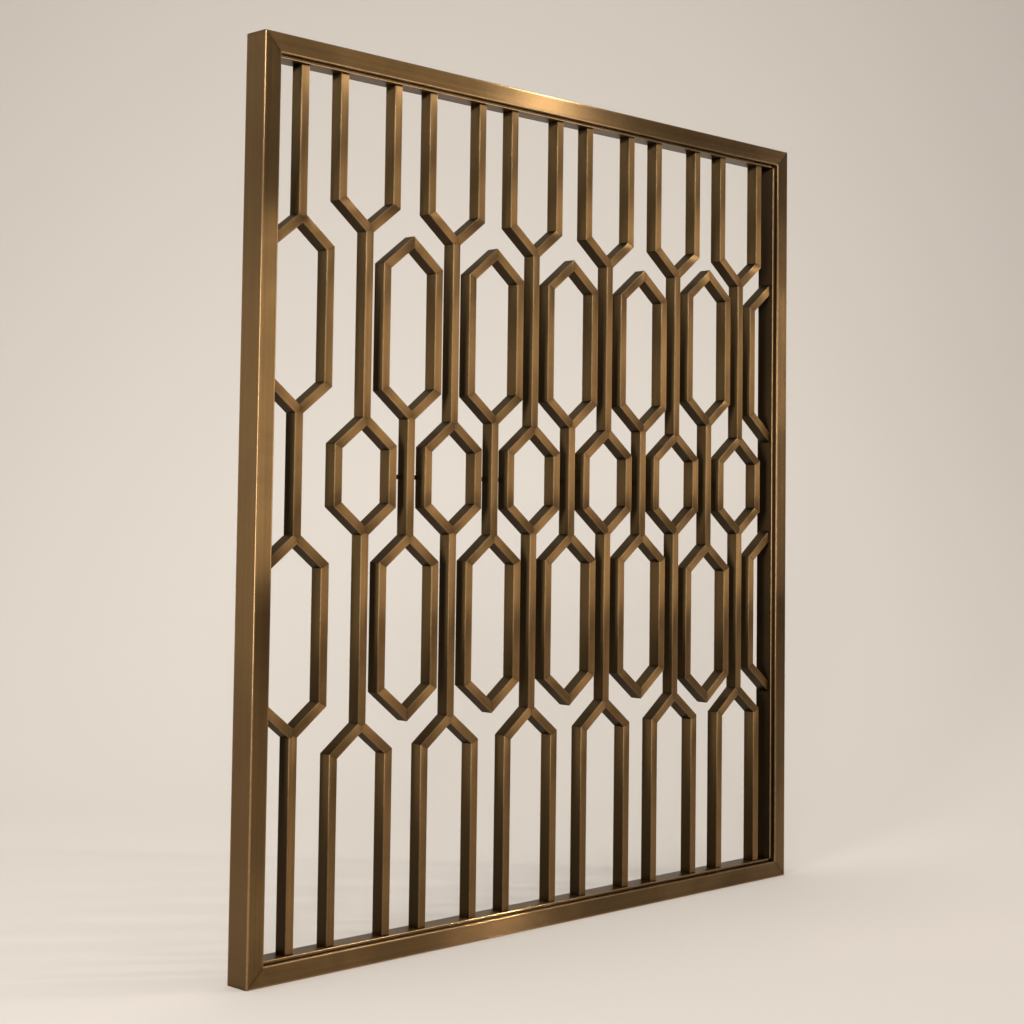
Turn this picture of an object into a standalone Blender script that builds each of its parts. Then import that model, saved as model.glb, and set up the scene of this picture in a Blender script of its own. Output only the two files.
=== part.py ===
"""Decorative screen panel: a mitred tube frame with a thin liner, filled with a lattice of welded bars.

The panel stands upright on its bottom rail. X runs along its width, Z up, and the front faces -Y.
The origin is under the middle of the bottom rail.
"""

import math

import bmesh
import bpy

# Overall size
WIDTH = 1.100
HEIGHT = 1.200

# Frame tube, as seen from the front and from the side
FRAME_FACE = 0.026
FRAME_DEPTH = 0.040
FRAME_CORNER_RADIUS = 0.0012
CORNER_SEGMENTS = 3
ROUND_PROFILE = 0.5

# Liner strip along the inside of the frame
LINER_THICKNESS = 0.004
LINER_DEPTH = 0.030
LINER_SET_BACK = 0.007

# Lattice bar
BAR_FACE = 0.013
BAR_DEPTH = 0.020
BAR_SET_BACK = 0.011
ARM_ANGLE = math.radians(37.5)

# Lattice columns
HALF_PITCH = 0.080
LOOP_HALF_WIDTH = 0.0475
LAST_COLUMN_TO_LINER = 0.001
SIDE_COLUMN_TO_LINER = 0.0445

# Heights of the pattern, along the middle of the bars, from the level that it mirrors about
PATTERN_LEVEL = 0.638
SMALL_LOOP_HEIGHT = 0.150
FORK_STEM = 0.2535
MIDDLE_STEM = 0.163
LAST_MIDDLE_STEM = 0.196
TALL_LOOP_HEIGHT = 0.239
SIDE_LOOP_HEIGHT = 0.251
END_LOOP_HEIGHT = 0.247

# Tie strip across the back of each middle stem, and the weld that joins them
TIE_HEIGHT = 0.006
TIE_THICKNESS = 0.003
WELD_INSET = 0.001

# Clearance between pieces that touch
GAP = 0.0003

# Places worked out from the sizes above
FRONT = -FRAME_DEPTH / 2
CAVITY_HALF_WIDTH = WIDTH / 2 - FRAME_FACE
CAVITY_HALF_HEIGHT = HEIGHT / 2 - FRAME_FACE
FIELD_HALF_WIDTH = CAVITY_HALF_WIDTH - LINER_THICKNESS
FIELD_BOTTOM = FRAME_FACE + LINER_THICKNESS
FIELD_TOP = HEIGHT - FIELD_BOTTOM
BAR_Y = FRONT + BAR_SET_BACK + BAR_DEPTH / 2
LINER_Y = FRONT + LINER_SET_BACK + LINER_DEPTH / 2
BAR_BACK = BAR_Y + BAR_DEPTH / 2
TIE_HALF_LENGTH = HALF_PITCH - LOOP_HALF_WIDTH

# The columns are set out leftwards from the last one, as many as leave half a pitch beside the side column
LAST_X = FIELD_HALF_WIDTH - LAST_COLUMN_TO_LINER
SIDE_X = SIDE_COLUMN_TO_LINER - FIELD_HALF_WIDTH
FORK_COLUMNS = math.floor((LAST_X - SIDE_X) / (2 * HALF_PITCH))

SMALL_LOOP_TIP = SMALL_LOOP_HEIGHT / 2
FORK_TIP = SMALL_LOOP_TIP + FORK_STEM
TALL_LOOP_NEAR = MIDDLE_STEM / 2
SIDE_LOOP_FAR = TALL_LOOP_NEAR + SIDE_LOOP_HEIGHT
END_LOOP_FAR = TALL_LOOP_NEAR + END_LOOP_HEIGHT

# Offsets of a bar's edges from its middle line
HALF_BAR = BAR_FACE / 2
ARM_SLOPE = math.tan(ARM_ANGLE)
ARM_EDGE = HALF_BAR / math.cos(ARM_ANGLE)
MITRE_EDGE = HALF_BAR * math.tan((math.pi / 2 - ARM_ANGLE) / 2)
SHOULDER_DROP = ARM_SLOPE * LOOP_HALF_WIDTH
ARM_START = ARM_EDGE - ARM_SLOPE * HALF_BAR
OUTER_X = LOOP_HALF_WIDTH + HALF_BAR
INNER_X = LOOP_HALF_WIDTH - HALF_BAR

BRONZE = (0.155, 0.098, 0.052, 1.0)
DARK_BRONZE = (0.095, 0.060, 0.033, 1.0)
FRAME_ROUGHNESS = 0.34
LATTICE_ROUGHNESS = 0.38
LINER_ROUGHNESS = 0.46


def clear_scene():
    for old in list(bpy.data.objects):
        bpy.data.objects.remove(old)


def new_collection(name):
    collection = bpy.data.collections.new(name)
    bpy.context.scene.collection.children.link(collection)
    return collection


def metal(name, colour, roughness):
    """A metallic Principled material."""
    material = bpy.data.materials.new(name)
    material.use_nodes = True
    shader = material.node_tree.nodes["Principled BSDF"]
    shader.inputs["Base Color"].default_value = colour
    shader.inputs["Metallic"].default_value = 1.0
    shader.inputs["Roughness"].default_value = roughness
    material.diffuse_color = colour
    return material


def mirrored(points):
    """The points of a right-hand side, seen on the left and run backwards."""
    return [(-x, z) for x, z in reversed(points)]


def as_mesh_object(curve_object, collection):
    """Swaps a curve object for a mesh object with welded caps, at the same place."""
    graph = bpy.context.evaluated_depsgraph_get()
    mesh = bpy.data.meshes.new_from_object(curve_object.evaluated_get(graph))
    welded = bmesh.new()
    welded.from_mesh(mesh)
    bmesh.ops.remove_doubles(welded, verts=welded.verts, dist=0.00001)
    welded.to_mesh(mesh)
    welded.free()
    name, place = curve_object.name, curve_object.matrix_world.copy()
    bpy.data.objects.remove(curve_object)
    solid = bpy.data.objects.new(name, mesh)
    solid.matrix_world = place
    collection.objects.link(solid)
    return solid


def plate(name, loops, thickness, place, collection):
    """A flat outline in the XZ plane, with holes, thickened along Y about its place."""
    curve = bpy.data.curves.new(name, "CURVE")
    curve.dimensions = "2D"
    curve.fill_mode = "BOTH"
    curve.extrude = thickness / 2
    for loop in loops:
        spline = curve.splines.new("POLY")
        spline.points.add(len(loop) - 1)
        for point, (x, z) in zip(spline.points, loop):
            point.co = (x, z, 0.0, 1.0)
        spline.use_cyclic_u = True
    flat = bpy.data.objects.new(name, curve)
    collection.objects.link(flat)
    flat.rotation_euler = (math.pi / 2, 0.0, 0.0)
    flat.location = place
    bpy.context.view_layer.update()
    return as_mesh_object(flat, collection)


def mitred_bar(name, length, face, depth, radius, collection):
    """A rounded bar along X whose outer side, at Z = 0, is the longer one; its ends are cut at 45 degrees."""
    form = bmesh.new()
    bmesh.ops.create_cube(form, size=1.0)
    bmesh.ops.scale(form, vec=(length, depth, face), verts=form.verts)
    bmesh.ops.translate(form, vec=(0.0, 0.0, face / 2), verts=form.verts)
    long_edges = [e for e in form.edges if abs(e.verts[0].co.x - e.verts[1].co.x) > face]
    if radius > 0:
        bmesh.ops.bevel(form, geom=long_edges, offset=radius, segments=CORNER_SEGMENTS,
                        profile=ROUND_PROFILE, affect="EDGES")
    for side in (-1, 1):
        everything = form.verts[:] + form.edges[:] + form.faces[:]
        corner = (side * (length / 2 - GAP / 2 * math.sqrt(2)), 0.0, 0.0)
        cut = bmesh.ops.bisect_plane(form, geom=everything, plane_co=corner, plane_no=(side, 0.0, 1.0),
                                     clear_outer=True)
        rim = [g for g in cut["geom_cut"] if isinstance(g, bmesh.types.BMEdge)]
        bmesh.ops.contextual_create(form, geom=rim)
    bmesh.ops.recalc_face_normals(form, faces=form.faces)
    mesh = bpy.data.meshes.new(name)
    form.to_mesh(mesh)
    form.free()
    bar = bpy.data.objects.new(name, mesh)
    collection.objects.link(bar)
    return bar


def rectangle_of_bars(names, half_width, half_height, face, depth, radius, y, collection):
    """Four mitred bars laid round a rectangle, named bottom, right, top and left."""
    middle = HEIGHT / 2
    turns = (
        (2 * half_width, 0.0, (0.0, y, middle - half_height)),
        (2 * half_height, -math.pi / 2, (half_width, y, middle)),
        (2 * half_width, math.pi, (0.0, y, middle + half_height)),
        (2 * half_height, math.pi / 2, (-half_width, y, middle)),
    )
    bars = []
    for name, (length, turn, place) in zip(names, turns):
        bar = mitred_bar(name, length, face, depth, radius, collection)
        bar.rotation_euler = (0.0, turn, 0.0)
        bar.location = place
        bars.append(bar)
    return bars


def loop_side(top, bottom):
    """The outer right-hand corners of a six-sided loop, from its upper shoulder to its lower one."""
    return [
        (OUTER_X, top - SHOULDER_DROP + MITRE_EDGE),
        (OUTER_X, bottom + SHOULDER_DROP - MITRE_EDGE),
    ]


def loop_hole(top, bottom):
    """The inner edge of a six-sided loop whose tips are at these heights along the bars' middle."""
    side = [
        (INNER_X, top - SHOULDER_DROP - MITRE_EDGE),
        (INNER_X, bottom + SHOULDER_DROP + MITRE_EDGE),
    ]
    return [(0.0, top - ARM_EDGE)] + side + [(0.0, bottom + ARM_EDGE)] + mirrored(side)


def fork_column(name, x, collection):
    """Two legs join in a V, a stem runs down to a small loop and on to an upturned V with two legs."""
    upper_tip = PATTERN_LEVEL + FORK_TIP
    lower_tip = PATTERN_LEVEL - FORK_TIP
    loop_top = PATTERN_LEVEL + SMALL_LOOP_TIP
    loop_bottom = PATTERN_LEVEL - SMALL_LOOP_TIP
    leg_top = FIELD_TOP - GAP
    leg_bottom = FIELD_BOTTOM + GAP
    side = [
        (INNER_X, upper_tip + SHOULDER_DROP + MITRE_EDGE),
        (INNER_X, leg_top),
        (OUTER_X, leg_top),
        (OUTER_X, upper_tip + SHOULDER_DROP - MITRE_EDGE),
        (HALF_BAR, upper_tip - ARM_START),
        (HALF_BAR, loop_top + ARM_START),
        *loop_side(loop_top, loop_bottom),
        (HALF_BAR, loop_bottom - ARM_START),
        (HALF_BAR, lower_tip + ARM_START),
        (OUTER_X, lower_tip - SHOULDER_DROP + MITRE_EDGE),
        (OUTER_X, leg_bottom),
        (INNER_X, leg_bottom),
        (INNER_X, lower_tip - SHOULDER_DROP - MITRE_EDGE),
    ]
    outline = [(0.0, upper_tip + ARM_EDGE)] + side + [(0.0, lower_tip - ARM_EDGE)] + mirrored(side)
    hole = loop_hole(loop_top, loop_bottom)
    return plate(name, (outline, hole), BAR_DEPTH, (x, BAR_Y, 0.0), collection)


def twin_loop_column(name, x, middle_stem, collection, cutters):
    """Two tall loops on a short stem, with a tie strip that reaches behind the columns on both sides."""
    near = middle_stem / 2
    far = near + TALL_LOOP_HEIGHT
    loops = [
        (PATTERN_LEVEL + far, PATTERN_LEVEL + near),
        (PATTERN_LEVEL - near, PATTERN_LEVEL - far),
    ]
    side = [
        *loop_side(*loops[0]),
        (HALF_BAR, loops[0][1] - ARM_START),
        (HALF_BAR, loops[1][0] + ARM_START),
        *loop_side(*loops[1]),
    ]
    outline = [(0.0, loops[0][0] + ARM_EDGE)] + side + [(0.0, loops[1][1] - ARM_EDGE)] + mirrored(side)
    holes = [loop_hole(top, bottom) for top, bottom in loops]
    column = plate(name, (outline, *holes), BAR_DEPTH, (x, BAR_Y, 0.0), collection)
    join(column, tie_strip(name + "_tie", x, cutters))
    return column


def tie_strip(name, x, cutters):
    """A flat strip along X behind the bars, at the level that the pattern mirrors about, with its weld in front."""
    weld = HALF_BAR - WELD_INSET
    front = BAR_BACK + GAP
    back = front + TIE_THICKNESS
    root = BAR_BACK - WELD_INSET
    outline = [(-TIE_HALF_LENGTH, front), (-weld, front), (-weld, root), (weld, root), (weld, front),
               (TIE_HALF_LENGTH, front), (TIE_HALF_LENGTH, back), (-TIE_HALF_LENGTH, back)]
    form = bmesh.new()
    profile = form.faces.new([form.verts.new((u, v, -TIE_HEIGHT / 2)) for u, v in outline])
    risen = bmesh.ops.extrude_face_region(form, geom=[profile])
    raised = [g for g in risen["geom"] if isinstance(g, bmesh.types.BMVert)]
    bmesh.ops.translate(form, vec=(0.0, 0.0, TIE_HEIGHT), verts=raised)
    bmesh.ops.recalc_face_normals(form, faces=form.faces)
    mesh = bpy.data.meshes.new(name)
    form.to_mesh(mesh)
    form.free()
    strip = bpy.data.objects.new(name, mesh)
    strip.location = (x, 0.0, PATTERN_LEVEL)
    strip.hide_render = True
    strip.display_type = "WIRE"
    cutters.objects.link(strip)
    return strip


def join(piece, other):
    union = piece.modifiers.new("join " + other.name, "BOOLEAN")
    union.operation = "UNION"
    union.object = other


def side_column(name, x, collection):
    """A stem with two tall loops that the frame's left side cuts off, so their arms end on the liner."""
    reach = x + FIELD_HALF_WIDTH - GAP
    stem_top = FIELD_TOP - GAP
    stem_bottom = FIELD_BOTTOM + GAP
    loops = [
        (PATTERN_LEVEL + SIDE_LOOP_FAR, PATTERN_LEVEL + TALL_LOOP_NEAR),
        (PATTERN_LEVEL - TALL_LOOP_NEAR, PATTERN_LEVEL - SIDE_LOOP_FAR),
    ]
    right = [(HALF_BAR, stem_top)]
    left = [(-HALF_BAR, stem_top)]
    for top, bottom in loops:
        right += [(HALF_BAR, top + ARM_START), *loop_side(top, bottom), (HALF_BAR, bottom - ARM_START)]
        left += [
            (-HALF_BAR, top + ARM_START),
            (-reach, top - ARM_SLOPE * reach + ARM_EDGE),
            (-reach, top - ARM_SLOPE * reach - ARM_EDGE),
            (0.0, top - ARM_EDGE),
            (INNER_X, top - SHOULDER_DROP - MITRE_EDGE),
            (INNER_X, bottom + SHOULDER_DROP + MITRE_EDGE),
            (0.0, bottom + ARM_EDGE),
            (-reach, bottom + ARM_SLOPE * reach + ARM_EDGE),
            (-reach, bottom + ARM_SLOPE * reach - ARM_EDGE),
            (-HALF_BAR, bottom - ARM_START),
        ]
    right.append((HALF_BAR, stem_bottom))
    left.append((-HALF_BAR, stem_bottom))
    outline = right + list(reversed(left))
    return plate(name, (outline,), BAR_DEPTH, (x, BAR_Y, 0.0), collection)


def end_loop(name, x, top, bottom, collection):
    """The left half of a tall loop, whose arms run straight on to the liner on the right."""
    reach = FIELD_HALF_WIDTH - GAP - x
    upper = top + ARM_SLOPE * reach
    lower = bottom - ARM_SLOPE * reach
    outline = [
        (reach, upper + ARM_EDGE),
        (-OUTER_X, top - SHOULDER_DROP + MITRE_EDGE),
        (-OUTER_X, bottom + SHOULDER_DROP - MITRE_EDGE),
        (reach, lower - ARM_EDGE),
        (reach, lower + ARM_EDGE),
        (-INNER_X, bottom + SHOULDER_DROP + MITRE_EDGE),
        (-INNER_X, top - SHOULDER_DROP - MITRE_EDGE),
        (reach, upper - ARM_EDGE),
    ]
    return plate(name, (outline,), BAR_DEPTH, (x, BAR_Y, 0.0), collection)


def build_frame(collection):
    names = ("bottom_rail", "right_stile", "top_rail", "left_stile")
    bars = rectangle_of_bars(names, WIDTH / 2, HEIGHT / 2, FRAME_FACE, FRAME_DEPTH,
                             FRAME_CORNER_RADIUS, 0.0, collection)
    for bar in bars:
        bar.data.shade_smooth()
        bar.data.set_sharp_from_angle(angle=math.radians(40))
    return bars


def build_liner(collection):
    names = ("bottom_liner", "right_liner", "top_liner", "left_liner")
    return rectangle_of_bars(names, CAVITY_HALF_WIDTH - GAP, CAVITY_HALF_HEIGHT - GAP,
                             LINER_THICKNESS - GAP, LINER_DEPTH, 0.0, LINER_Y, collection)


def build_lattice(collection, cutters):
    """The columns, set out from the right: fork columns and twin loops by turns, with cut ones at both ends."""
    pieces = []
    for number in range(1, FORK_COLUMNS + 1):
        x = LAST_X - (2 * (FORK_COLUMNS - number) + 1) * HALF_PITCH
        pieces.append(fork_column(f"fork_column_{number}", x, collection))
    for number in range(1, FORK_COLUMNS):
        x = LAST_X - 2 * (FORK_COLUMNS - number) * HALF_PITCH
        stem = LAST_MIDDLE_STEM if number == FORK_COLUMNS - 1 else MIDDLE_STEM
        pieces.append(twin_loop_column(f"twin_loop_column_{number}", x, stem, collection, cutters))
    pieces.append(side_column("side_column", SIDE_X, collection))
    upper = (PATTERN_LEVEL + END_LOOP_FAR, PATTERN_LEVEL + TALL_LOOP_NEAR)
    lower = (PATTERN_LEVEL - TALL_LOOP_NEAR, PATTERN_LEVEL - END_LOOP_FAR)
    pieces.append(end_loop("upper_end_loop", LAST_X, *upper, collection))
    pieces.append(end_loop("lower_end_loop", LAST_X, *lower, collection))
    return pieces


def main():
    clear_scene()
    collection = new_collection("decorative_screen_panel")
    cutters = new_collection("cutters")
    panel = bpy.data.objects.new("screen_panel", None)
    collection.objects.link(panel)
    finishes = (
        (build_frame(collection), metal("frame_bronze", BRONZE, FRAME_ROUGHNESS)),
        (build_liner(collection), metal("liner_bronze", DARK_BRONZE, LINER_ROUGHNESS)),
        (build_lattice(collection, cutters), metal("lattice_bronze", BRONZE, LATTICE_ROUGHNESS)),
    )
    for pieces, material in finishes:
        for piece in pieces:
            piece.data.materials.append(material)
            piece.parent = panel


main()
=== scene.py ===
import math

import bpy
import bmesh
import numpy as np
from mathutils import Matrix, Vector


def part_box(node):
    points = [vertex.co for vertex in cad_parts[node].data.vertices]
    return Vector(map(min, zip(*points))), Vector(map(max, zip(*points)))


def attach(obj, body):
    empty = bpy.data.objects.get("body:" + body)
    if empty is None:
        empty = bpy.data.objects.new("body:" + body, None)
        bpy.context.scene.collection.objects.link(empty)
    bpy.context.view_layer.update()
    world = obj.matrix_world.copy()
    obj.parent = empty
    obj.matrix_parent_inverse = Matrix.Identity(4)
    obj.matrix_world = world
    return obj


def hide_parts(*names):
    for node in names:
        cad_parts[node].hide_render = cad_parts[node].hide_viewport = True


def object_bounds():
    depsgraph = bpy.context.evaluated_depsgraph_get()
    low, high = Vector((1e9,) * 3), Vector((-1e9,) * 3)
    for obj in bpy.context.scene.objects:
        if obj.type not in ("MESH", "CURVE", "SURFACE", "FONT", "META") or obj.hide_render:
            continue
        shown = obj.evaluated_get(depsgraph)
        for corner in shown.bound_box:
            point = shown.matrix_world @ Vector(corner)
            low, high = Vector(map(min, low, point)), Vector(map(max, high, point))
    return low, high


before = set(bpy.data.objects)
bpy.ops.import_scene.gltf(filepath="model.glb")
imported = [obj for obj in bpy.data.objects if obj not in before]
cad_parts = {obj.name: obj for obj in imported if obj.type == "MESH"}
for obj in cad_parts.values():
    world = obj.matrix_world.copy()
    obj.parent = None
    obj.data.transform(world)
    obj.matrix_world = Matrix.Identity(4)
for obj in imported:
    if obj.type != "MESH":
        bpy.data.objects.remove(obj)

cadLow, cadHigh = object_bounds()
body = "root"

# The photograph's picture size and the camera that sees the panel as it does
picture = {"pixels": 1024, "sensor": 36.0}
cameraPlace = {
    "focalPixels": 1875.38,
    "place": (-1.98947, -1.89774, 0.60065),
    "turnRight": 45.1816,      # degrees from straight at the panel
    "tiltUp": 3.2332,
    "roll": 0.7351,
    "middleRow": 400.0,        # pixel row of the optical axis
}


# Looks along (sin a cos e, cos a cos e, sin e), rolled about that line, with the axis shifted to its row.
def makeCamera(values):
    turn, tilt, roll = (math.radians(values[k]) for k in ("turnRight", "tiltUp", "roll"))
    ahead = Vector((math.sin(turn) * math.cos(tilt), math.cos(turn) * math.cos(tilt), math.sin(tilt)))
    right = Vector((math.cos(turn), -math.sin(turn), 0.0))
    up = right.cross(ahead)
    rolledRight = right * math.cos(roll) + up * math.sin(roll)
    rolledUp = up * math.cos(roll) - right * math.sin(roll)
    data = bpy.data.cameras.new("photoCamera")
    data.sensor_width = picture["sensor"]
    data.lens = values["focalPixels"] * picture["sensor"] / picture["pixels"]
    data.shift_y = (values["middleRow"] - picture["pixels"] / 2) / picture["pixels"]
    camera = bpy.data.objects.new("photoCamera", data)
    axes = Matrix((rolledRight, rolledUp, -ahead)).transposed().to_4x4()
    camera.matrix_world = Matrix.Translation(values["place"]) @ axes
    bpy.context.scene.collection.objects.link(camera)
    bpy.context.scene.camera = camera


makeCamera(cameraPlace)
print("camera placed")


# Node helpers

# An empty node material, its nodes and its links
def newMaterial(name):
    material = bpy.data.materials.new(name)
    material.use_nodes = True
    return material, material.node_tree.nodes, material.node_tree.links


# One arithmetic node; a number goes on the socket, anything else is linked.
def mathNode(nodes, links, operation, first, second=None, clamp=False):
    node = nodes.new("ShaderNodeMath")
    node.operation = operation
    node.use_clamp = clamp
    for socket, value in zip(node.inputs, (first, second)):
        if value is None:
            continue
        if isinstance(value, (int, float)):
            socket.default_value = value
        else:
            links.new(value, socket)
    return node.outputs[0]


# Carries low..high to outLow..outHigh, smoothed at both ends or in a straight line
def mapRange(nodes, links, value, low, high, outLow=0.0, outHigh=1.0, smooth=True):
    node = nodes.new("ShaderNodeMapRange")
    node.interpolation_type = "SMOOTHSTEP" if smooth else "LINEAR"
    links.new(value, node.inputs["Value"])
    for key, number in (("From Min", low), ("From Max", high), ("To Min", outLow), ("To Max", outHigh)):
        node.inputs[key].default_value = number
    return node.outputs[0]


# Result = (1 - factor) first + factor second, or their product when blend is MULTIPLY
def mixColour(nodes, links, factor, first, second, blend="MIX"):
    node = nodes.new("ShaderNodeMix")
    node.data_type = "RGBA"
    node.blend_type = blend
    for socket, value in ((node.inputs["Factor"], factor), (node.inputs[6], first), (node.inputs[7], second)):
        if isinstance(value, (int, float)):
            socket.default_value = value
        elif isinstance(value, tuple):
            socket.default_value = (*value, 1.0)
        else:
            links.new(value, socket)
    return node.outputs[2]


# The number stored on the mesh under this name
def attributeValue(nodes, name):
    node = nodes.new("ShaderNodeAttribute")
    node.attribute_name = name
    return node.outputs["Fac"]


# Cloud noise, 0 to 1, at this many cells a metre along the given vector
def noiseNode(nodes, links, vector, scale, detail=3.0, roughness=0.55, distortion=0.0):
    node = nodes.new("ShaderNodeTexNoise")
    node.inputs["Scale"].default_value = scale
    node.inputs["Detail"].default_value = detail
    node.inputs["Roughness"].default_value = roughness
    node.inputs["Distortion"].default_value = distortion
    links.new(vector, node.inputs["Vector"])
    return node.outputs["Fac"]


# Brushed bronze: streaks along each bar, cloudy patina, dark seams, worn arrises that double as a painted
# highlight, painted side shade, painted reveal shade on inner faces and painted shade near bar ends

bronzeLook = {
    "streakStretch": (3.0, 900.0),       # streaks a metre, along and across
    "broadStretch": (1.2, 160.0),
    "cloudScale": 5.5,
    # Colour of worn arrises, also serving as a painted highlight along them
    "wearAndHighlightColour": (0.62, 0.40, 0.20),
    # Painted shade for the reveal, laid on the frame's inner faces
    "revealShadeColour": (0.010, 0.006, 0.003),
    # Painted shade near bar ends, in the corners of the joints
    "cornerShadeColour": (0.018, 0.012, 0.008),
    "seamColour": (0.012, 0.008, 0.005),
    "speckScale": 140.0,
    "patinaRange": (0.34, 0.68),
    "cloudShare": 0.6, "barShare": 0.4,  # how far the cloud and the bar's own tone set the colour
    "broadTone": (0.82, 1.16), "fineTone": (0.86, 1.14),
    "rubRange": (0.30, 0.62), "rubLeast": 0.72,
    "roughBand": (-0.03, 0.04), "turnedRougher": 0.10, "wornSmoother": 0.10,
    "bumpDistance": 0.0004,
    "anisotropy": 1.0,
    "streakBump": 0.08,
    "seamWidth": 0.0006,
    "seamDark": 0.50,
    # Reach and strength of the painted shade near bar ends
    "cornerShadeReach": 0.008,
    "cornerShadeStrength": 0.16,
}


# Colour = patina cloud between dark and light, times streaks, towards a painted side shade where the face
# turns away, towards painted reveal shade on inner faces, darker with painted shade where a bar ends, dark on
# the seams, and towards the worn colour on the arrises, which also serves as a painted highlight.
def brushedBronze(name, light, dark, side, roughness, wearAndHighlight, sideDark, insideDark=0.0):
    material, nodes, links = newMaterial(name)
    shader = nodes["Principled BSDF"]
    shader.inputs["Metallic"].default_value = 1.0
    shader.inputs["Anisotropic"].default_value = bronzeLook["anisotropy"]
    shader.inputs["Anisotropic Rotation"].default_value = 0.25

    grain = nodes.new("ShaderNodeUVMap")
    grain.uv_map = "grain"
    tangent = nodes.new("ShaderNodeTangent")
    tangent.direction_type = "UV_MAP"
    tangent.uv_map = "grain"
    links.new(tangent.outputs[0], shader.inputs["Tangent"])

    # Noise drawn out along the grain: cells = along x stretch[0], round x stretch[1]
    def streaks(stretch, detail):
        stretched = nodes.new("ShaderNodeMapping")
        stretched.inputs["Scale"].default_value = (*stretch, 1.0)
        links.new(grain.outputs[0], stretched.inputs["Vector"])
        return noiseNode(nodes, links, stretched.outputs[0], 1.0, detail)

    fine = streaks(bronzeLook["streakStretch"], 2.0)
    broad = streaks(bronzeLook["broadStretch"], 3.0)
    place = nodes.new("ShaderNodeTexCoord").outputs["Object"]
    cloud = noiseNode(nodes, links, place, bronzeLook["cloudScale"], 4.0, 0.6, 0.6)
    speck = noiseNode(nodes, links, place, bronzeLook["speckScale"], 2.0, 0.6)
    tone = attributeValue(nodes, "barTone")
    arris = attributeValue(nodes, "arris")
    sideShadeMask = attributeValue(nodes, "sideShadeMask")
    inside = attributeValue(nodes, "inside")

    ends = nodes.new("ShaderNodeUVMap")
    ends.uv_map = "ends"
    split = nodes.new("ShaderNodeSeparateXYZ")
    links.new(ends.outputs[0], split.inputs[0])
    toEnd = mathNode(nodes, links, "MINIMUM", split.outputs[0], split.outputs[1])

    patina = mapRange(nodes, links, cloud, *bronzeLook["patinaRange"])
    fromCloud = mathNode(nodes, links, "MULTIPLY", patina, bronzeLook["cloudShare"])
    fromBar = mathNode(nodes, links, "MULTIPLY", tone, bronzeLook["barShare"])
    toned = mathNode(nodes, links, "ADD", fromCloud, fromBar, clamp=True)
    colour = mixColour(nodes, links, toned, dark, light)
    streakTone = mapRange(nodes, links, broad, 0.25, 0.75, *bronzeLook["broadTone"], smooth=False)
    fineTone = mapRange(nodes, links, fine, 0.2, 0.8, *bronzeLook["fineTone"], smooth=False)
    shade = mathNode(nodes, links, "MULTIPLY", streakTone, fineTone)
    grey = nodes.new("ShaderNodeCombineColor")
    for socket in grey.inputs:
        links.new(shade, socket)
    colour = mixColour(nodes, links, 1.0, colour, grey.outputs[0], "MULTIPLY")
    # Painted side shade on the side and back faces: dark on the lattice and liner, a lighter lit tone on the
    # liner's rails, near the front's tone on the frame
    colour = mixColour(nodes, links, mathNode(nodes, links, "MULTIPLY", sideShadeMask, sideDark), colour, side)
    # Painted reveal shade, near black, on the frame's inner faces
    colour = mixColour(nodes, links, mathNode(nodes, links, "MULTIPLY", inside, insideDark), colour,
                       bronzeLook["revealShadeColour"])
    # Painted shade near each bar's ends, in the corners of its joints and where it meets the liner
    cornerShade = mapRange(nodes, links, toEnd, 0.0, bronzeLook["cornerShadeReach"], bronzeLook["cornerShadeStrength"], 0.0)
    colour = mixColour(nodes, links, cornerShade, colour, bronzeLook["cornerShadeColour"])
    seam = mapRange(nodes, links, toEnd, bronzeLook["seamWidth"] * 0.4, bronzeLook["seamWidth"],
                    bronzeLook["seamDark"], 0.0)
    colour = mixColour(nodes, links, seam, colour, bronzeLook["seamColour"])
    # Worn arrises, rubbed patchily; the bright worn colour also serves as a painted highlight along the edges
    rub = mapRange(nodes, links, speck, *bronzeLook["rubRange"], bronzeLook["rubLeast"], 1.0)
    rubbed = mathNode(nodes, links, "MULTIPLY", arris, rub)
    wearAndHighlightMask = mathNode(nodes, links, "MULTIPLY", rubbed, wearAndHighlight, clamp=True)
    colour = mixColour(nodes, links, wearAndHighlightMask, colour, bronzeLook["wearAndHighlightColour"])
    links.new(colour, shader.inputs["Base Color"])

    smoother, rougher = (roughness + step for step in bronzeLook["roughBand"])
    rough = mapRange(nodes, links, fine, 0.2, 0.8, smoother, rougher, smooth=False)
    onSides = mathNode(nodes, links, "MULTIPLY", sideShadeMask, bronzeLook["turnedRougher"])
    rough = mathNode(nodes, links, "ADD", rough, onSides)
    onWear = mathNode(nodes, links, "MULTIPLY", wearAndHighlightMask, bronzeLook["wornSmoother"])
    rough = mathNode(nodes, links, "SUBTRACT", rough, onWear, clamp=True)
    links.new(rough, shader.inputs["Roughness"])

    bump = nodes.new("ShaderNodeBump")
    bump.inputs["Strength"].default_value = bronzeLook["streakBump"]
    bump.inputs["Distance"].default_value = bronzeLook["bumpDistance"]
    links.new(fine, bump.inputs["Height"])
    links.new(bump.outputs[0], shader.inputs["Normal"])
    return material
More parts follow.
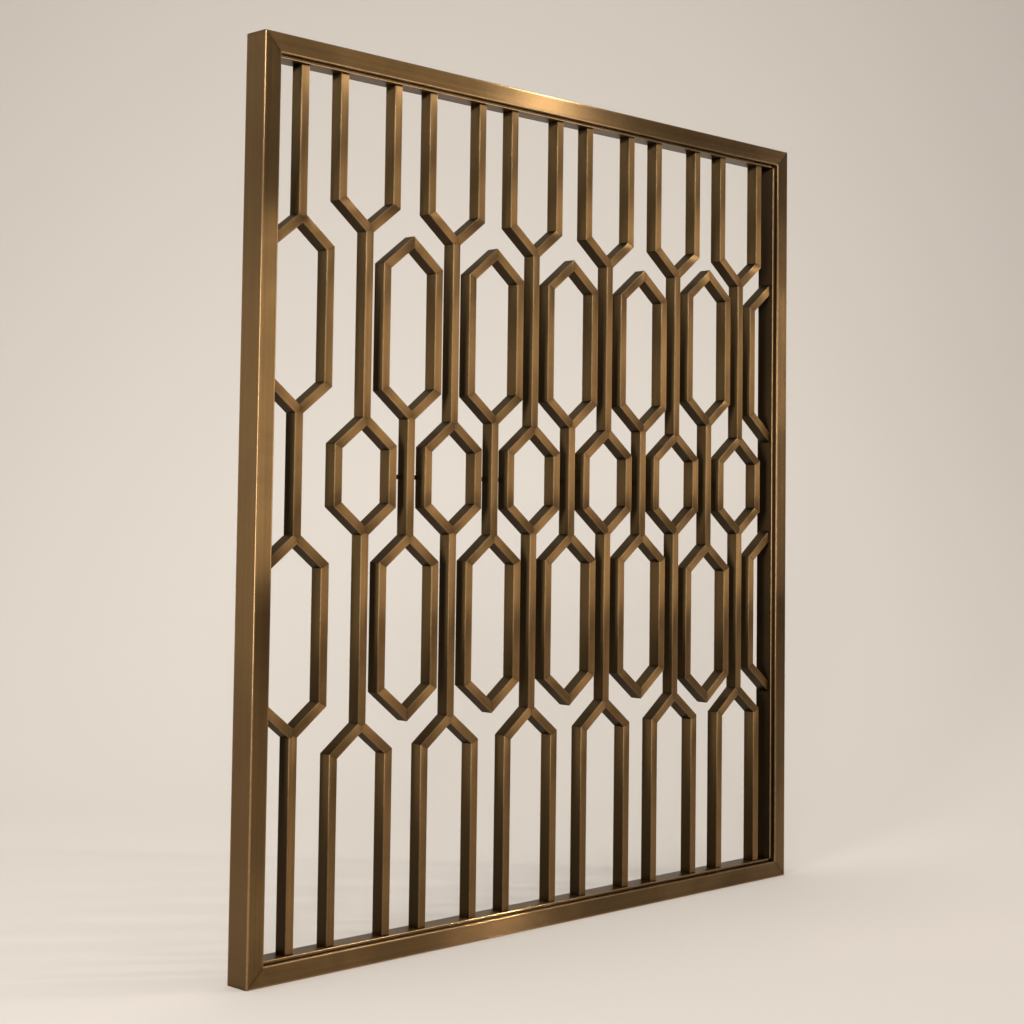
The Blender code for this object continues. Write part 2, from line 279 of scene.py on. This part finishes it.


# A rounded bar profile, as arrays that run once round it

# Corner arcs (c + r cos a, c + r sin a) joined by flats; each flat has points near its arcs and one in
# the middle. Returns across, forward, length round the profile, the arris mask, and the masks for painted
# shade on the turned-away faces and on the inside face.
def barProfile(face, depth, radius, arcSteps=4, edgeBand=0.0011):
    halfFace, halfDepth = face / 2, depth / 2
    arc = np.linspace(0.0, math.pi / 2, arcSteps + 1)
    across, forward, arris, sideShadeMask = [], [], [], []
    corners = ((1, 1, 0.0), (-1, 1, 0.5), (-1, -1, 1.0), (1, -1, 1.5))
    for signS, signH, start in corners:
        angle = arc + start * math.pi
        across.append(signS * (halfFace - radius) + radius * np.cos(angle))
        forward.append(signH * (halfDepth - radius) + radius * np.sin(angle))
        arris.append(np.ones(arcSteps + 1))
        leavesToSide = start in (0.5, 1.5)
        flatHalf = (halfDepth if leavesToSide else halfFace) - radius
        steps = np.array([edgeBand, flatHalf, 2 * flatHalf - edgeBand])
        tangent = np.array([-math.sin(angle[-1]), math.cos(angle[-1])])
        across.append(across[-1][-1] + tangent[0] * steps)
        forward.append(forward[-1][-1] + tangent[1] * steps)
        arris.append(np.zeros(3))
    across, forward, arris = (np.concatenate(part) for part in (across, forward, arris))
    onFlatSide = np.abs(across) > halfFace - radius * 0.7
    # The face on the + across side; on the frame it faces the opening and takes painted reveal shade
    inside = np.where(across > halfFace - radius * 0.7, 1.0, 0.0)
    onBack = (forward < -halfDepth + radius * 0.7) & ~onFlatSide
    # Side faces fully and back faces at 0.6 take the painted side shade
    sideShadeMask = np.where(onFlatSide, 1.0, np.where(onBack, 0.6, 0.0))
    step = np.hypot(np.diff(across, append=across[0]), np.diff(forward, append=forward[0]))
    around = np.concatenate([[0.0], np.cumsum(step)])
    return {"across": across, "forward": forward, "around": around, "arris": arris, "sideShadeMask": sideShadeMask,
            "inside": inside, "halfFace": halfFace, "halfDepth": halfDepth}


# cot a = cos a / sin a
def cotangent(angle):
    return math.cos(angle) / math.sin(angle)


# How far each side of a bar's end runs back from its joint: cot(d) times the distance from the middle line,
# where d is half the angle to the next bar round the joint; a free end follows its plane instead.
def endCuts(points, bars, endPlanes):
    cuts = np.zeros((len(bars), 2, 2))           # bar, end, (left side, right side) as seen from the joint
    for joint, place in enumerate(points):
        ends = []
        for number, (first, last) in enumerate(bars):
            if joint in (first, last):
                other = points[last if first == joint else first]
                angle = math.atan2(other[1] - place[1], other[0] - place[0])
                ends.append((angle, number, 0 if first == joint else 1))
        ends.sort()
        if len(ends) == 1:
            angle, number, end = ends[0]
            normal = endPlanes.get(joint)
            if normal is not None:
                out = (math.cos(angle), math.sin(angle))
                left = (-out[1], out[0])
                alongLeft = left[0] * normal[0] + left[1] * normal[1]
                alongOut = out[0] * normal[0] + out[1] * normal[1]
                slope = -alongLeft / alongOut
                cuts[number, end] = (slope, -slope)
            continue
        for i, (angle, number, end) in enumerate(ends):
            after = (ends[(i + 1) % len(ends)][0] - angle) % (2 * math.pi)
            before = (angle - ends[i - 1][0]) % (2 * math.pi)
            cuts[number, end] = (cotangent(after / 2), cotangent(before / 2))
    return cuts


# Carries the profile along each straight bar between its joints: P = joint + t along + n across - Y forward,
# with the along distance at each end set by the mitre. Rings near the ends sink by groove to draw the seam.
def carryBars(name, points, bars, profile, y, material, endPlanes=None, groove=0.0, grooveWidth=0.0005,
              seed=0):
    points = np.asarray(points, float)
    bars = np.asarray(bars, int)
    cuts = endCuts(points.tolist(), bars.tolist(), endPlanes or {})
    start, stop = points[bars[:, 0]], points[bars[:, 1]]
    length = np.linalg.norm(stop - start, axis=1)
    tangent = (stop - start) / length[:, None]
    normal = np.stack([-tangent[:, 1], tangent[:, 0]], axis=1)
    s, h = profile["across"], profile["forward"]
    count = len(s)
    onLeft = s > 0
    runA = np.where(onLeft, cuts[:, 0, 0:1], cuts[:, 0, 1:2]) * np.abs(s)
    runB = length[:, None] - np.where(onLeft, cuts[:, 1, 1:2], cuts[:, 1, 0:1]) * np.abs(s)
    clear = (runB - runA).min(axis=1)
    part = np.minimum(grooveWidth / clear, 0.2)
    zero = np.zeros_like(part)
    f = np.stack([zero, part, 1 - part, zero + 1], axis=1)                     # bar, ring
    sink = np.array([1.0, 0.0, 0.0, 1.0]) * groove
    run = runA[:, None, :] + (runB - runA)[:, None, :] * f[:, :, None]         # bar, ring, profile point
    scaleS = 1 - sink / profile["halfFace"]
    scaleH = 1 - sink / profile["halfDepth"]
    sideways = s[None, None, :] * scaleS[None, :, None]
    outward = h[None, None, :] * scaleH[None, :, None]
    # Kept on the mitre line, a sunk ring keeps its run in step with its distance from the middle
    run = run + np.array([1, 0, 0, 0])[None, :, None] * (runA * (scaleS[0] - 1))[:, None, :]
    shiftB = (runB - length[:, None]) * (scaleS[3] - 1)
    run = run + np.array([0, 0, 0, 1])[None, :, None] * shiftB[:, None, :]
    x = start[:, 0, None, None] + tangent[:, 0, None, None] * run + normal[:, 0, None, None] * sideways
    z = start[:, 1, None, None] + tangent[:, 1, None, None] * run + normal[:, 1, None, None] * sideways
    verts = np.stack([x, y - outward + 0 * x, z], axis=-1).reshape(-1, 3)

    rings = 4
    b, r, k = np.meshgrid(np.arange(len(bars)), np.arange(rings - 1), np.arange(count), indexing="ij")
    nextK = (k + 1) % count

    # Vertex number = (bar x rings + ring) x points + point
    def index(ring, point):
        return ((b * rings + ring) * count + point).ravel()

    quads = np.stack([index(r, k), index(r, nextK), index(r + 1, nextK), index(r + 1, k)], axis=1)
    mesh = bpy.data.meshes.new(name)
    capFaces = []
    freeEnds = [(i, e) for i, pair in enumerate(bars.tolist()) for e, joint in enumerate(pair)
                if (bars == joint).sum() == 1]
    for bar, end in freeEnds:
        ring = (bar * rings + (rings - 1) * end) * count + np.arange(count)
        capFaces.append((ring if end else ring[::-1]).tolist())
    mesh.from_pydata(verts, [], quads.tolist() + capFaces)

    # Two maps: along and round each bar for the grain, and the distances to its two ends for the seams
    offset = np.random.default_rng(seed).uniform(0.0, 40.0, len(bars))
    tones = np.random.default_rng(seed + 1).uniform(0.0, 1.0, len(bars))
    along = run + offset[:, None, None]
    cornerRing = np.stack([r, r, r + 1, r + 1], axis=-1).reshape(-1, 4)
    cornerPoint = np.stack([k, nextK, nextK, k], axis=-1).reshape(-1, 4)
    cornerBar = np.repeat(b.reshape(-1, 1), 4, axis=1)
    cornerAround = np.stack([k, k + 1, k + 1, k], axis=-1).reshape(-1, 4)
    grain = np.stack([along[cornerBar, cornerRing, cornerPoint], profile["around"][cornerAround]], axis=-1)
    toA = run - runA[:, None, :]
    toB = runB[:, None, :] - run
    corner = (cornerBar, cornerRing, cornerPoint)
    ends = np.stack([toA[corner], toB[corner]], axis=-1)
    capCorners = sum(len(face) for face in capFaces)
    far = np.full((capCorners, 2), 1.0)
    for mapName, values in (("grain", grain), ("ends", ends)):
        layer = mesh.uv_layers.new(name=mapName)
        filled = np.concatenate([values.reshape(-1, 2), far])
        layer.uv.foreach_set("vector", filled.astype(np.float32).ravel())
    tiled = len(bars) * rings
    for key in ("arris", "sideShadeMask", "inside"):
        layer = mesh.attributes.new(key, "FLOAT", "POINT")
        layer.data.foreach_set("value", np.tile(profile[key], tiled).astype(np.float32))
    layer = mesh.attributes.new("barTone", "FLOAT", "FACE")
    faceTones = np.concatenate([np.repeat(tones, (rings - 1) * count), np.full(len(capFaces), 0.5)])
    layer.data.foreach_set("value", faceTones.astype(np.float32))

    form = bmesh.new()
    form.from_mesh(mesh)
    bmesh.ops.remove_doubles(form, verts=form.verts, dist=0.000005)
    form.to_mesh(mesh)
    form.free()
    mesh.materials.append(material)
    mesh.shade_smooth()
    mesh.set_sharp_from_angle(angle=math.radians(32))
    piece = bpy.data.objects.new(name, mesh)
    bpy.context.scene.collection.objects.link(piece)
    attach(piece, body)
    return piece


# Frame tube

frameTube = {
    "face": 0.026, "depth": 0.040, "arrisRadius": 0.0013, "mitreGap": 0.00015,
    # The side colour is a painted side tone close to the front's; the inner faces take painted reveal shade;
    # arris wear also serves as a painted highlight
    "light": (0.172, 0.104, 0.044), "dark": (0.093, 0.056, 0.024), "side": (0.150, 0.092, 0.040),
    "roughness": 0.205, "wearAndHighlight": 0.38, "sideDark": 0.60, "insideDark": 0.85,
}


# Four bars round a rectangle whose outer corners are low and high; each end is cut at 45 degrees.
# The materials are the rails' and the stiles'.
def mitredFour(names, nodes, low, high, values, y, materials, seed):
    half = values["face"] / 2
    inner = (low[0] + half, low[1] + half, high[0] - half, high[1] - half)
    corners = [(inner[0], inner[1]), (inner[2], inner[1]), (inner[2], inner[3]), (inner[0], inner[3])]
    profile = barProfile(values["face"], values["depth"], values["arrisRadius"],
                         edgeBand=values["face"] * 0.05)
    for i, (name, node) in enumerate(zip(names, nodes)):
        here, there = np.array(corners[i]), np.array(corners[(i + 1) % 4])
        way = (there - here) / np.linalg.norm(there - here)
        back = values["mitreGap"] * math.sqrt(2)
        ends = [here + way * back, there - way * back]
        turn = np.array([-way[1], way[0]])
        planes = {0: way - turn, 1: way + turn}
        piece = carryBars(name, ends, [(0, 1)], profile, y, materials[i % 2], planes, seed=seed + i)
        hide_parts(node)


frameBronze = brushedBronze("brushedBronzeFrame", frameTube["light"], frameTube["dark"], frameTube["side"],
                            frameTube["roughness"], frameTube["wearAndHighlight"], frameTube["sideDark"],
                            frameTube["insideDark"])
frameNodes = ("bottom_rail", "right_stile", "top_rail", "left_stile")
mitredFour(("bottomRail", "rightStile", "topRail", "leftStile"), frameNodes, (cadLow.x, cadLow.z),
           (cadHigh.x, cadHigh.z), frameTube, 0.0, (frameBronze, frameBronze), 10)
print("frame tubes made")


# Liner strip

linerStrip = {
    "face": 0.0037, "depth": 0.030, "arrisRadius": 0.0006, "mitreGap": 0.00015,
    # The near-black side colour is painted shade on the liner's faces in the reveal; the rails get a lighter,
    # lit side colour; arris wear also serves as a painted highlight
    "light": (0.200, 0.125, 0.056), "dark": (0.100, 0.062, 0.028), "side": (0.012, 0.008, 0.004),
    "roughness": 0.36, "wearAndHighlight": 0.85, "sideDark": 0.90,
    "railLitSideColour": (0.115, 0.074, 0.036), "railRoughness": 0.20,
}
linerBronze = brushedBronze("brushedBronzeLiner", linerStrip["light"], linerStrip["dark"], linerStrip["side"],
                            linerStrip["roughness"], linerStrip["wearAndHighlight"], linerStrip["sideDark"])
# A lit copy of the liner material for the top and bottom rails: a lighter painted side colour and a smoother
# finish
litLinerRailBronze = brushedBronze("brushedBronzeLinerRailLit", linerStrip["light"], linerStrip["dark"],
                                linerStrip["railLitSideColour"], linerStrip["railRoughness"], linerStrip["wearAndHighlight"],
                                linerStrip["sideDark"])
linerNodes = ("bottom_liner", "right_liner", "top_liner", "left_liner")
linerLow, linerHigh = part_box("left_liner")[0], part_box("right_liner")[1]
linerY = (linerLow[1] + linerHigh[1]) / 2
mitredFour(("bottomLiner", "rightLiner", "topLiner", "leftLiner"), linerNodes, (linerLow[0], linerLow[2]),
           (linerHigh[0], linerHigh[2]), linerStrip, linerY, (litLinerRailBronze, linerBronze), 20)
print("liner made")


# Lattice bars

lattice = {
    "barFace": 0.013, "barDepth": 0.020, "arrisRadius": 0.0007, "seamGroove": 0.00010,
    "armAngle": 37.5, "loopHalfWidth": 0.0475,
    "patternLevel": 0.638, "smallLoopHeight": 0.150, "forkStem": 0.2535, "middleStem": 0.163,
    "lastMiddleStem": 0.196, "tallLoopHeight": 0.239, "sideLoopHeight": 0.251, "endLoopHeight": 0.247,
    # The dark side colour is painted shade on the bars' side and back faces; arris wear also serves as a
    # painted highlight
    "light": (0.252, 0.146, 0.060), "dark": (0.142, 0.083, 0.034), "side": (0.037, 0.024, 0.010),
    "roughness": 0.34, "wearAndHighlight": 0.24, "sideDark": 0.90,
}
latticeBronze = brushedBronze("brushedBronzeLattice", lattice["light"], lattice["dark"], lattice["side"],
                              lattice["roughness"], lattice["wearAndHighlight"], lattice["sideDark"])
latticeProfile = barProfile(lattice["barFace"], lattice["barDepth"], lattice["arrisRadius"])
halfLoop = lattice["loopHalfWidth"]
drop = halfLoop * math.tan(math.radians(lattice["armAngle"]))
level = lattice["patternLevel"]
outerHalf = halfLoop + lattice["barFace"] / 2


# A six-sided loop's joints from its top tip clockwise: tips at x, shoulders drop = w tan(angle) away.
def loopPoints(x, top, bottom):
    return [(x, top), (x + halfLoop, top - drop), (x + halfLoop, bottom + drop), (x, bottom),
            (x - halfLoop, bottom + drop), (x - halfLoop, top - drop)]


# One lattice column: the bar profile carried along its bars, with its node's part hidden
def latticePiece(name, node, points, bars, seed, endPlanes=None):
    piece = carryBars(name, points, bars, latticeProfile, latticeY, latticeBronze, endPlanes,
                      lattice["seamGroove"], seed=seed)
    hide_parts(node)
    return piece


# Legs, V, stem, small loop, stem, upturned V and legs, mirrored about the pattern's level.
def forkColumn(node, seed):
    low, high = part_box(node)
    x = (low[0] + high[0]) / 2
    loopTop = level + lattice["smallLoopHeight"] / 2
    loopBottom = level - lattice["smallLoopHeight"] / 2
    upper, lower = loopTop + lattice["forkStem"], loopBottom - lattice["forkStem"]
    points = loopPoints(x, loopTop, loopBottom) + [
        (x, upper), (x - halfLoop, upper + drop), (x - halfLoop, high[2]),
        (x + halfLoop, upper + drop), (x + halfLoop, high[2]),
        (x, lower), (x - halfLoop, lower - drop), (x - halfLoop, low[2]),
        (x + halfLoop, lower - drop), (x + halfLoop, low[2])]
    bars = [(0, 1), (1, 2), (2, 3), (3, 4), (4, 5), (5, 0), (0, 6), (6, 7), (7, 8), (6, 9), (9, 10),
            (3, 11), (11, 12), (12, 13), (11, 14), (14, 15)]
    return latticePiece("forkColumn" + node[-1], node, points, bars, seed)


# Two tall loops with a stem between their near tips.
def twinLoopColumn(node, seed, stem):
    low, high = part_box(node)
    x = (low[0] + high[0]) / 2
    near = stem / 2
    far = near + lattice["tallLoopHeight"]
    points = loopPoints(x, level + far, level + near) + loopPoints(x, level - near, level - far)
    ring = [(i, (i + 1) % 6) for i in range(6)]
    bars = ring + [(a + 6, b + 6) for a, b in ring] + [(3, 6)]
    return latticePiece("twinLoopColumn" + node[-1], node, points, bars, seed)


# A stem with two loops whose left arms end on the liner, each cut by the plane of its face.
def sideColumn(node, seed):
    low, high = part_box(node)
    x = high[0] - outerHalf
    reach = x - low[0]
    fall = reach * drop / halfLoop
    near = lattice["middleStem"] / 2
    far = near + lattice["sideLoopHeight"]
    points, bars, planes = [(x, high[2])], [], {}
    above = 0
    for top, bottom in ((level + far, level + near), (level - near, level - far)):
        first = len(points)
        points += [(x, top), (x + halfLoop, top - drop), (x + halfLoop, bottom + drop), (x, bottom),
                   (low[0], top - fall), (low[0], bottom + fall)]
        bars += [(above, first), (first, first + 1), (first + 1, first + 2), (first + 2, first + 3),
                 (first, first + 4), (first + 3, first + 5)]
        planes.update({first + 4: (1.0, 0.0), first + 5: (1.0, 0.0)})
        above = first + 3
    points.append((x, low[2]))
    bars.append((above, len(points) - 1))
    return latticePiece("sideColumn", node, points, bars, seed, planes)


# The left half of a tall loop; its arms run straight on to the liner.
def endLoop(name, node, top, bottom, seed):
    low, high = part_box(node)
    x = low[0] + outerHalf
    rise = (high[0] - x) * drop / halfLoop
    points = [(high[0], top + rise), (x - halfLoop, top - drop), (x - halfLoop, bottom + drop),
              (high[0], bottom - rise)]
    planes = {0: (1.0, 0.0), 3: (1.0, 0.0)}
    return latticePiece(name, node, points, [(0, 1), (1, 2), (2, 3)], seed, planes)


latticeY = sum(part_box("side_column")[i][1] for i in (0, 1)) / 2
forkNodes = sorted(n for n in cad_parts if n.startswith("fork_column_"))
twinNodes = sorted(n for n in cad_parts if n.startswith("twin_loop_column_"))
for number, node in enumerate(forkNodes):
    forkColumn(node, 100 + 10 * number)
for number, node in enumerate(twinNodes):
    stem = lattice["lastMiddleStem" if node == twinNodes[-1] else "middleStem"]
    twinLoopColumn(node, 200 + 10 * number, stem)
sideColumn("side_column", 300)
nearTip = lattice["middleStem"] / 2
farTip = nearTip + lattice["endLoopHeight"]
endLoop("upperEndLoop", "upper_end_loop", level + farTip, level + nearTip, 310)
endLoop("lowerEndLoop", "lower_end_loop", level - nearTip, level - farTip, 320)
print("lattice made:", len(forkNodes), "fork columns and", len(twinNodes), "twin loop columns")


# Tie strips behind the middle stems

tieStrip = {
    "height": 0.006, "thickness": 0.003, "halfLength": 0.0325,
    "behindBar": 0.0003, "edgeRadius": 0.0004,
}
tieProfile = barProfile(tieStrip["height"], tieStrip["thickness"], tieStrip["edgeRadius"], 3, 0.0004)
barBack = latticeY + lattice["barDepth"] / 2
for number, node in enumerate(twinNodes):
    low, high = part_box(node)
    x = (low[0] + high[0]) / 2
    tieY = barBack + tieStrip["behindBar"] + tieStrip["thickness"] / 2
    ends = [(x - tieStrip["halfLength"], level), (x + tieStrip["halfLength"], level)]
    strip = carryBars("tieStrip" + node[-1], ends, [(0, 1)], tieProfile, tieY, latticeBronze,
                      seed=400 + 10 * number)
    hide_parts(node)
print("tie strips made")


# Floor, backdrop and light

studio = {
    "paperColour": (0.735, 0.698, 0.660),
    "floorReach": 7.0, "wallDistance": 0.9, "curveRadius": 3.4, "wallHeight": 7.0,
    "wayBack": 45.5,           # degrees: the backdrop stands square to the camera
    "worldColour": (1.0, 0.93, 0.84), "worldStrength": 0.39,
    # name: place, aim, width and height, watts, colour, spread in degrees
    "boxes": {
        "sparkBox": ((1.96, -1.72, 2.30), (0.0, 0.0, 1.1), (0.07, 0.35), 12.5, (1.0, 0.93, 0.82), 180.0),
        "frontBox": ((2.1, -2.8, 0.95), (0.0, 0.0, 0.75), (1.4, 1.2), 16.0, (1.0, 0.90, 0.78), 180.0),
        "rightBox": ((3.58, -2.28, 1.15), (0.54, 0.0, 0.85), (0.3, 0.5), 0.02, (1.0, 0.90, 0.78), 14.0),
        "railBox": ((1.52, -1.72, 0.25), (-0.10, 0.0, 0.01), (0.06, 0.12), 0.022, (1.0, 0.90, 0.74), 10.0),
        "topBox": ((-0.5, 0.3, 4.6), (0.1, 0.8, 0.0), (4.0, 4.0), 78.0, (1.0, 0.98, 0.95), 180.0),
        "edgeBox": ((-3.1, -0.9, 0.70), (-0.5, 0.0, 0.50), (0.8, 1.2), 62.0, (1.0, 0.94, 0.86), 180.0),
        "cameraBox": ((-3.4, -3.0, 2.6), (0.8, 1.4, 1.0), (1.2, 1.2), 13.5, (1.0, 0.97, 0.94), 50.0),
        "poolBox": ((0.3, 0.2, 3.6), (0.0, 0.1, 0.0), (1.4, 1.4), 4.0, (1.0, 0.97, 0.94), 110.0),
    },
}


# A floor that curves up into a wall: z = R (1 - cos a), u = D + R sin a, swept sideways along the wall.
def makeBackdrop():
    angle = np.linspace(0.0, math.pi / 2, 49)
    d, radius = studio["wallDistance"], studio["curveRadius"]
    u = np.concatenate([[-studio["floorReach"]], d + radius * np.sin(angle), [d + radius]])
    z = np.concatenate([[0.0], radius * (1 - np.cos(angle)), [studio["wallHeight"]]])
    sideways = np.array([-9.0, 9.0])
    turn = math.radians(studio["wayBack"])
    ahead, right = (math.sin(turn), math.cos(turn)), (math.cos(turn), -math.sin(turn))
    uu, ss = np.meshgrid(u, sideways, indexing="ij")
    zz = np.repeat(z[:, None], 2, axis=1)
    xx, yy = ahead[0] * uu + right[0] * ss, ahead[1] * uu + right[1] * ss
    verts = np.stack([xx, yy, zz], axis=-1).reshape(-1, 3)
    i = np.arange(len(u) - 1)
    faces = np.stack([2 * i, 2 * i + 1, 2 * i + 3, 2 * i + 2], axis=1)
    mesh = bpy.data.meshes.new("backdrop")
    mesh.from_pydata(verts, [], faces.tolist())
    material, nodes, _ = newMaterial("palePaper")
    shader = nodes["Principled BSDF"]
    shader.inputs["Base Color"].default_value = (*studio["paperColour"], 1.0)
    shader.inputs["Roughness"].default_value = 0.8
    shader.inputs["Specular IOR Level"].default_value = 0.2
    mesh.materials.append(material)
    mesh.shade_smooth()
    backdrop = bpy.data.objects.new("backdrop", mesh)
    bpy.context.scene.collection.objects.link(backdrop)


# A rectangle of light at place, turned to face aim
def softBox(name, place, aim, size, energy, colour, spread):
    data = bpy.data.lights.new(name, "AREA")
    data.shape = "RECTANGLE"
    data.size, data.size_y = size
    data.energy = energy
    data.color = colour
    data.spread = math.radians(spread)
    light = bpy.data.objects.new(name, data)
    light.location = place
    light.rotation_euler = (Vector(aim) - Vector(place)).to_track_quat("-Z", "Y").to_euler()
    bpy.context.scene.collection.objects.link(light)


makeBackdrop()
for name, values in studio["boxes"].items():
    softBox(name, *values)
world = bpy.data.worlds.new("studioWorld")
world.use_nodes = True
world.node_tree.nodes["Background"].inputs["Color"].default_value = (*studio["worldColour"], 1.0)
world.node_tree.nodes["Background"].inputs["Strength"].default_value = studio["worldStrength"]
bpy.context.scene.world = world
bpy.context.scene.view_settings.view_transform = "Standard"
print("studio set")
